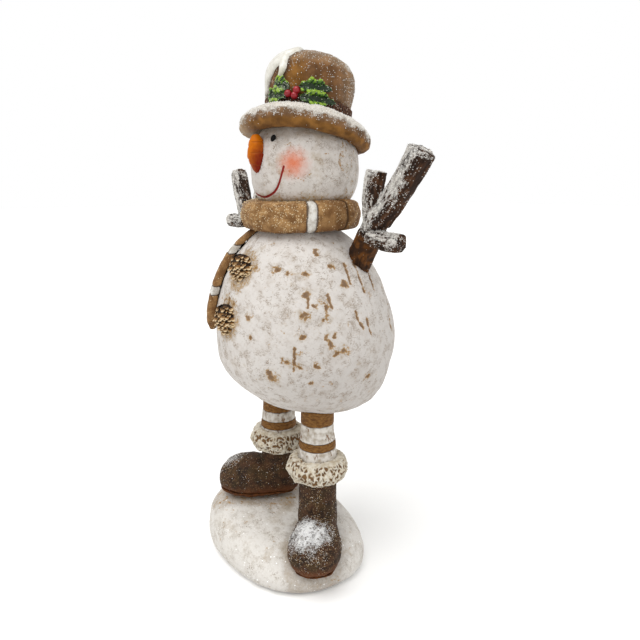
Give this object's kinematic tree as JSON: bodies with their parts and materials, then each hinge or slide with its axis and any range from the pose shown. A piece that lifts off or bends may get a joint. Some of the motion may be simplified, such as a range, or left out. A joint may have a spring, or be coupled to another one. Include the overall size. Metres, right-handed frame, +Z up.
{
  "type": "snowman figurine",
  "caption": "Standing snowman ornament with twig arms, top hat with holly, wrapped scarf, pinecone buttons, striped legs and fur-cuffed boots on a snow mound.",
  "frame": {"origin": "on the flat underside of the snow mound, straight below the middle of the belly", "axes": "+Z up, -Y the way the figure faces, +X the figure's own left side"},
  "size_m": [0.2227, 0.1473, 0.3999],
  "materials": {
    "body_snow": "painted cast resin, dimpled white with a brown wash in the pits",
    "base_snow": "painted cast resin, off-white snow with fine glitter",
    "hat_snow": "thick glossy white paint over modelled snow",
    "scarf_tan": "painted tan resin with gold glitter and white stripes",
    "hat_brown": "painted brown resin with gold glitter; white frost on the rim",
    "band_brown": "painted dark brown resin with glitter",
    "twig_brown": "painted bark, orange-brown at the root, dusted with white frost",
    "boot_brown": "painted dark brown resin with glitter and frosted toes",
    "sole_ochre": "painted orange-brown resin",
    "cuff_cream": "pitted cream resin fur with a brown wash in the pits",
    "stocking": "painted resin, white and brown rings with dark engraved lines",
    "cone_gold": "painted gold-brown pinecone scales",
    "carrot": "orange paint shaded red towards the lower side",
    "holly": "glossy green paint, light at the edges",
    "berry": "glossy red paint",
    "eye_black": "glossy black paint"
  },
  "bodies": {
    "root": {"boot_left": "boot_brown", "boot_sole_left": "sole_ochre", "fur_cuff_left": "cuff_cream", "stocking_leg_left": "stocking", "boot_right": "boot_brown", "boot_sole_right": "sole_ochre", "fur_cuff_right": "cuff_cream", "stocking_leg_right": "stocking", "snow_mound_base": "base_snow", "belly": "body_snow", "head": "body_snow", "scarf_wrap": "scarf_tan", "scarf_tail": "scarf_tan", "pinecone_button_upper": "cone_gold", "pinecone_button_lower": "cone_gold", "carrot_nose": "carrot", "eye_left": "eye_black", "eye_right": "eye_black", "hat_brim": "hat_brown", "hat_band": "band_brown", "hat_crown": "hat_brown", "holly_berry_1": "berry", "holly_berry_2": "berry", "holly_berry_3": "berry", "holly_leaf_1": "holly", "holly_leaf_2": "holly", "holly_leaf_3": "holly", "holly_leaf_4": "holly", "hat_snow_cap": "hat_snow", "arm_left_trunk": "twig_brown", "arm_left_branch": "twig_brown", "arm_left_inner": "twig_brown", "arm_left_stub": "twig_brown", "arm_right_trunk": "twig_brown", "arm_right_branch": "twig_brown", "arm_right_inner": "twig_brown", "arm_right_stub": "twig_brown"}
  },
  "joints": []
}
